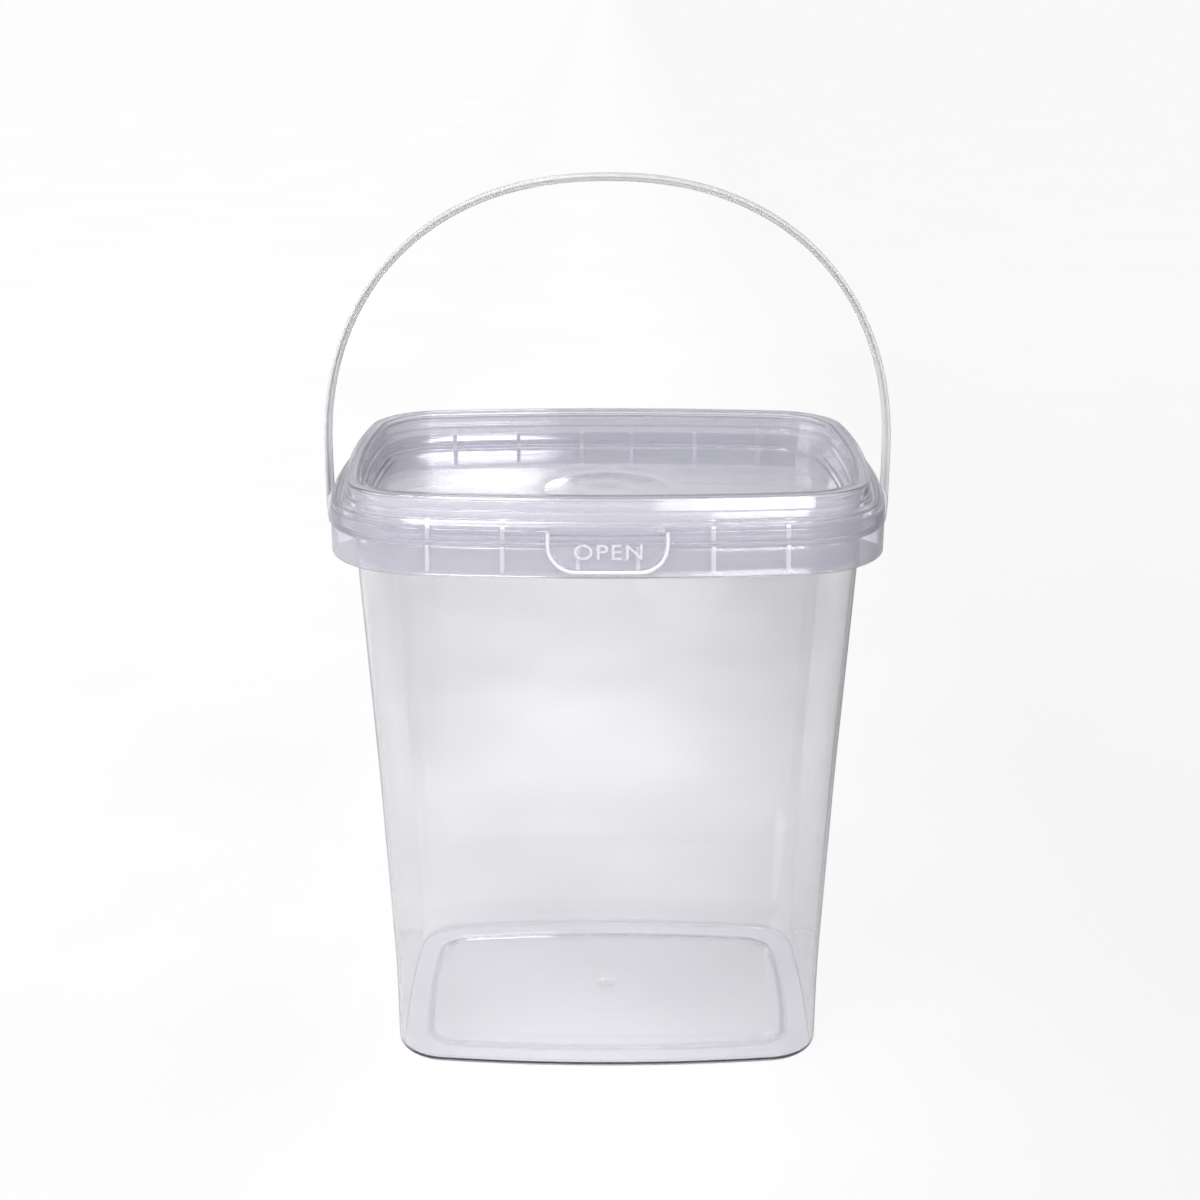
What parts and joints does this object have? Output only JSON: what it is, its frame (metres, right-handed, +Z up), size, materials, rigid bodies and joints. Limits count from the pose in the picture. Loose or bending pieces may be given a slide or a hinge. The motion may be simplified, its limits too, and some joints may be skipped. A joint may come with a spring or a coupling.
{
  "type": "lidded food pail",
  "caption": "Clear rectangular plastic pail with a tapered tub, a tamper-evident collar, a press-on lid, a swinging strap handle and a fold-out tear tab.",
  "frame": {"origin": "middle of the underside, in the plane of the foot ring that the pail stands on", "axes": "+Z up through the lid; X along the long sides, through the handle's two pivots; -Y towards the front, where the tear tab is"},
  "size_m": [0.1386, 0.0995, 0.2177],
  "materials": {
    "clear_tub": "clear gloss",
    "clear_lid": "clear gloss",
    "milky_strap": "milky gloss",
    "clear_tab": "clear gloss"
  },
  "bodies": {
    "tub": {"tub": "clear_tub"},
    "lid": {"lid": "clear_lid"},
    "handle": {"handle": "milky_strap"},
    "tear_tab": {"tear_tab": "clear_tab"}
  },
  "joints": [
    {"name": "lid_lift", "type": "slide", "parent": "tub", "child": "lid", "axis": [0, 0, 1], "range_m": [0, 0.014]},
    {"name": "handle_swing", "type": "hinge", "parent": "tub", "child": "handle", "pos_m": [0, 0, 0.1366], "axis": [1, 0, 0], "range_deg": [-140, 140]},
    {"name": "tab_fold", "type": "hinge", "parent": "tub", "child": "tear_tab", "pos_m": [0, -0.0495, 0.1356], "axis": [1, 0, 0], "range_deg": [0, 90]}
  ]
}
